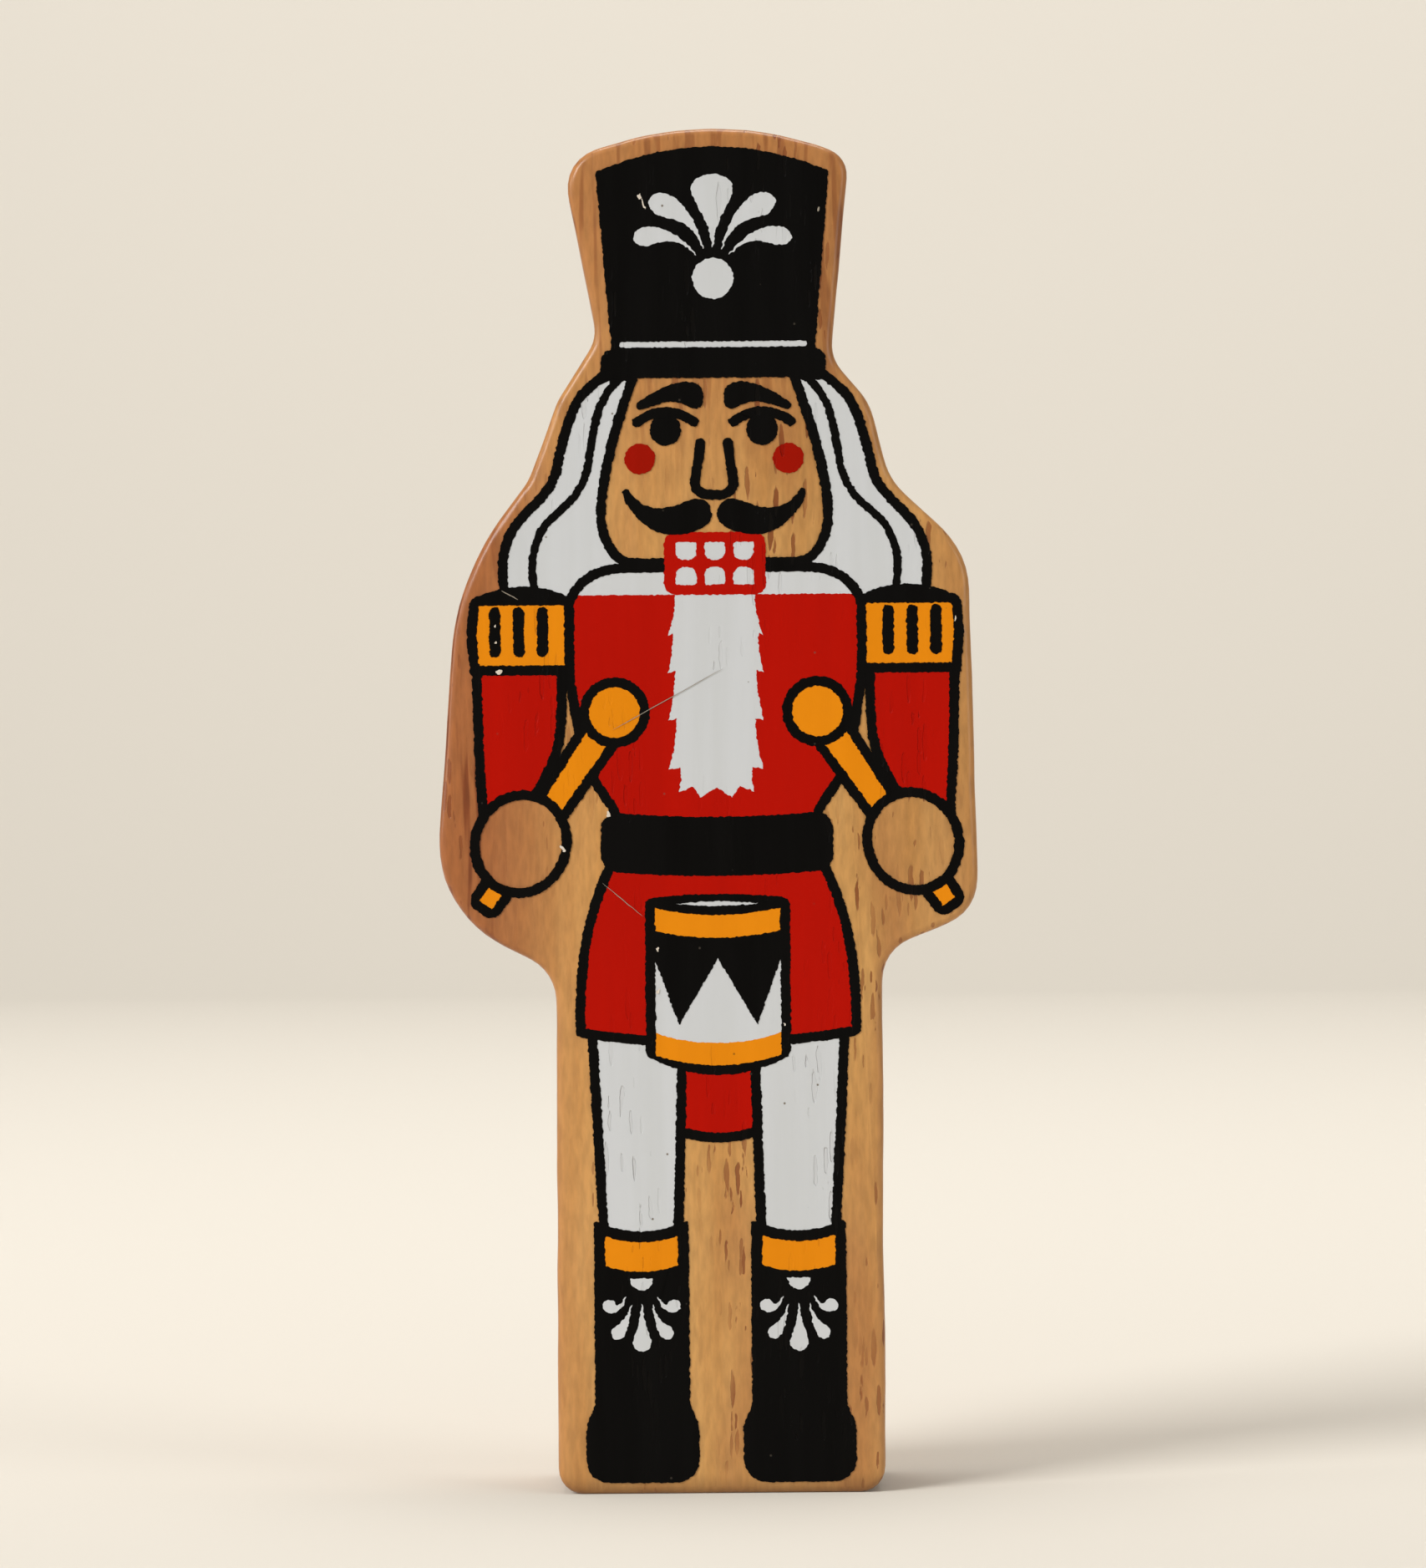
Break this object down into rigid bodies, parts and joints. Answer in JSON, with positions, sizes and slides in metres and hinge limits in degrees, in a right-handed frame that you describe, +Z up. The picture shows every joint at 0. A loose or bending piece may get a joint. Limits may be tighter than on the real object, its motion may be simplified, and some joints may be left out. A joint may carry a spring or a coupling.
{
  "type": "toy soldier figure",
  "caption": "Flat free-standing wooden nutcracker drummer, sawn from one board with softened edges, its uniform, face and drum printed in ink on the front.",
  "frame": {"origin": "middle of the flat foot that the figure stands on", "axes": "+Z up to the hat, -Y out of the printed front, +X to the viewer's right"},
  "size_m": [0.0553, 0.0181, 0.14],
  "materials": {
    "wood": "satin varnish",
    "black_ink": "satin ink",
    "white_ink": "satin ink",
    "red_ink": "satin ink",
    "yellow_ink": "satin ink"
  },
  "bodies": {
    "root": {"wood_blank": "wood", "hat_crown": "black_ink", "hat_band": "black_ink", "hat_cord": "white_ink", "hat_ornament": "white_ink", "left_hair": "white_ink", "right_hair": "white_ink", "left_hair_line": "black_ink", "right_hair_line": "black_ink", "face_line": "black_ink", "left_eyebrow": "black_ink", "right_eyebrow": "black_ink", "left_eye": "black_ink", "right_eye": "black_ink", "left_cheek": "red_ink", "right_cheek": "red_ink", "nose": "black_ink", "left_moustache": "black_ink", "right_moustache": "black_ink", "mouth": "red_ink", "teeth": "white_ink", "collar": "white_ink", "beard": "white_ink", "coat": "red_ink", "coat_line": "black_ink", "left_epaulette": "yellow_ink", "right_epaulette": "yellow_ink", "left_epaulette_line": "black_ink", "right_epaulette_line": "black_ink", "left_sleeve": "red_ink", "right_sleeve": "red_ink", "left_sleeve_line": "black_ink", "right_sleeve_line": "black_ink", "left_hand_line": "black_ink", "right_hand_line": "black_ink", "left_drumstick": "yellow_ink", "right_drumstick": "yellow_ink", "left_drumstick_line": "black_ink", "right_drumstick_line": "black_ink", "belt": "black_ink", "skirt": "red_ink", "skirt_line": "black_ink", "drum_body": "black_ink", "drum_hoops": "yellow_ink", "drum_shell": "white_ink", "drum_skin": "white_ink", "coat_tail": "red_ink", "coat_tail_line": "black_ink", "left_leg": "white_ink", "right_leg": "white_ink", "left_leg_line": "black_ink", "right_leg_line": "black_ink", "left_boot": "black_ink", "right_boot": "black_ink", "left_boot_cuff": "yellow_ink", "right_boot_cuff": "yellow_ink", "left_boot_ornament": "white_ink", "right_boot_ornament": "white_ink"}
  },
  "joints": []
}
